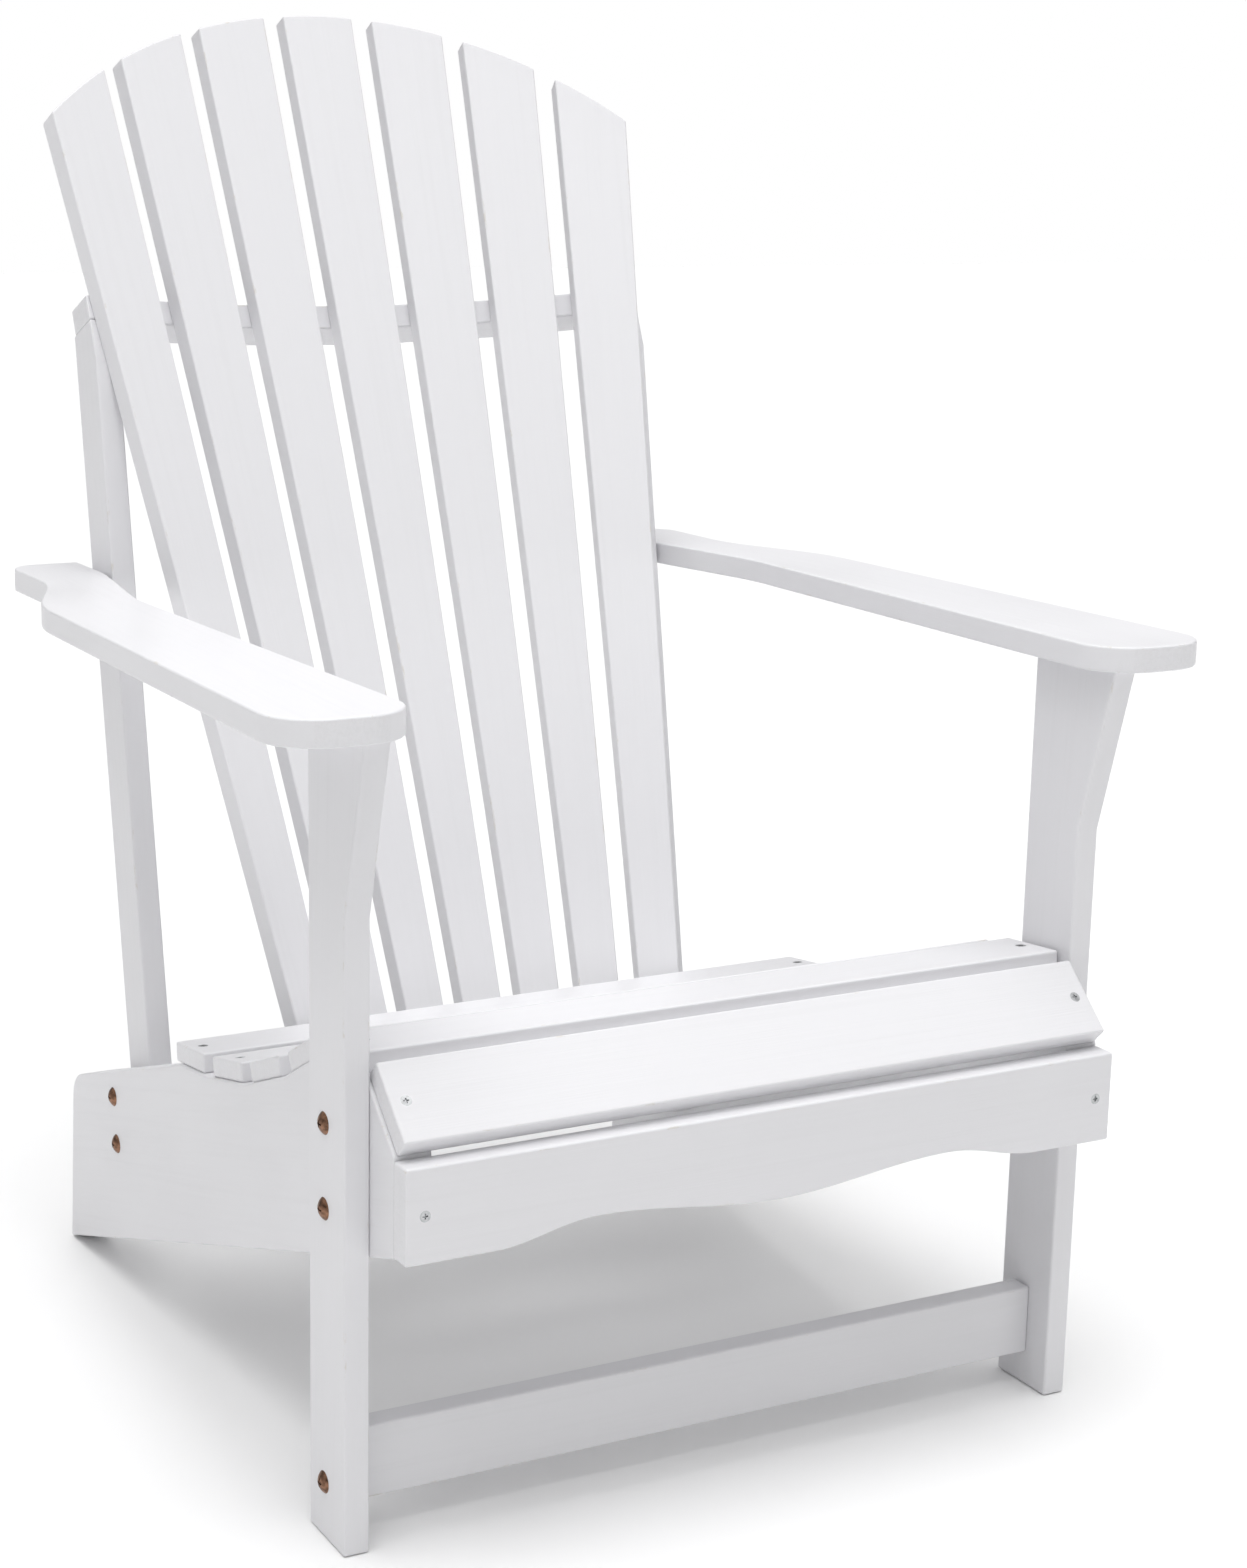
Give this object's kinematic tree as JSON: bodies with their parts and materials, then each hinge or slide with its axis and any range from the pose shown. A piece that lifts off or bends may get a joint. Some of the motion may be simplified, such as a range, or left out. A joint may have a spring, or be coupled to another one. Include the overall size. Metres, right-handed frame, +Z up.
{
  "type": "adirondack chair",
  "caption": "White painted adirondack chair with a fanned slat back, scooped slat seat, broad flat arms and sloping side rails that form the rear legs.",
  "frame": {"origin": "bottom centre of the bounding box, on the ground", "axes": "+Z up, the front of the chair faces -Y, +X is the right-hand side seen from the front"},
  "size_m": [0.7348, 0.8102, 1.0493],
  "materials": {
    "white_paint": "solid wood boards under white satin paint, with faint grain and softened edges",
    "copper_metal": "satin copper-coloured plating on steel",
    "steel": "zinc-plated, satin",
    "beech": "bare, sanded"
  },
  "bodies": {
    "root": {"back_slat_1": "white_paint", "back_slat_2": "white_paint", "back_slat_3": "white_paint", "back_slat_4": "white_paint", "back_slat_5": "white_paint", "back_slat_6": "white_paint", "back_slat_7": "white_paint", "upper_back_rail": "white_paint", "lower_back_rail": "white_paint", "left_rear_post": "white_paint", "right_rear_post": "white_paint", "left_arm": "white_paint", "right_arm": "white_paint", "left_front_leg": "white_paint", "right_front_leg": "white_paint", "left_side_rail": "white_paint", "right_side_rail": "white_paint", "front_apron": "white_paint", "front_stretcher": "white_paint", "front_seat_slat": "white_paint", "seat_slat_1": "white_paint", "seat_slat_2": "white_paint", "seat_slat_3": "white_paint", "seat_slat_4": "white_paint", "seat_slat_5": "white_paint", "leg_bolts": "copper_metal", "post_bolts": "copper_metal", "stretcher_bolts": "copper_metal", "washers": "steel", "hex_nuts": "steel", "barrel_nuts": "steel", "seat_screws": "steel", "apron_screws": "steel", "slat_top_screws": "steel", "slat_foot_screws": "steel", "arm_screws": "steel", "arm_dowels": "beech", "upper_rail_dowels": "beech", "lower_rail_dowels": "beech", "stretcher_dowels": "beech"}
  },
  "joints": []
}
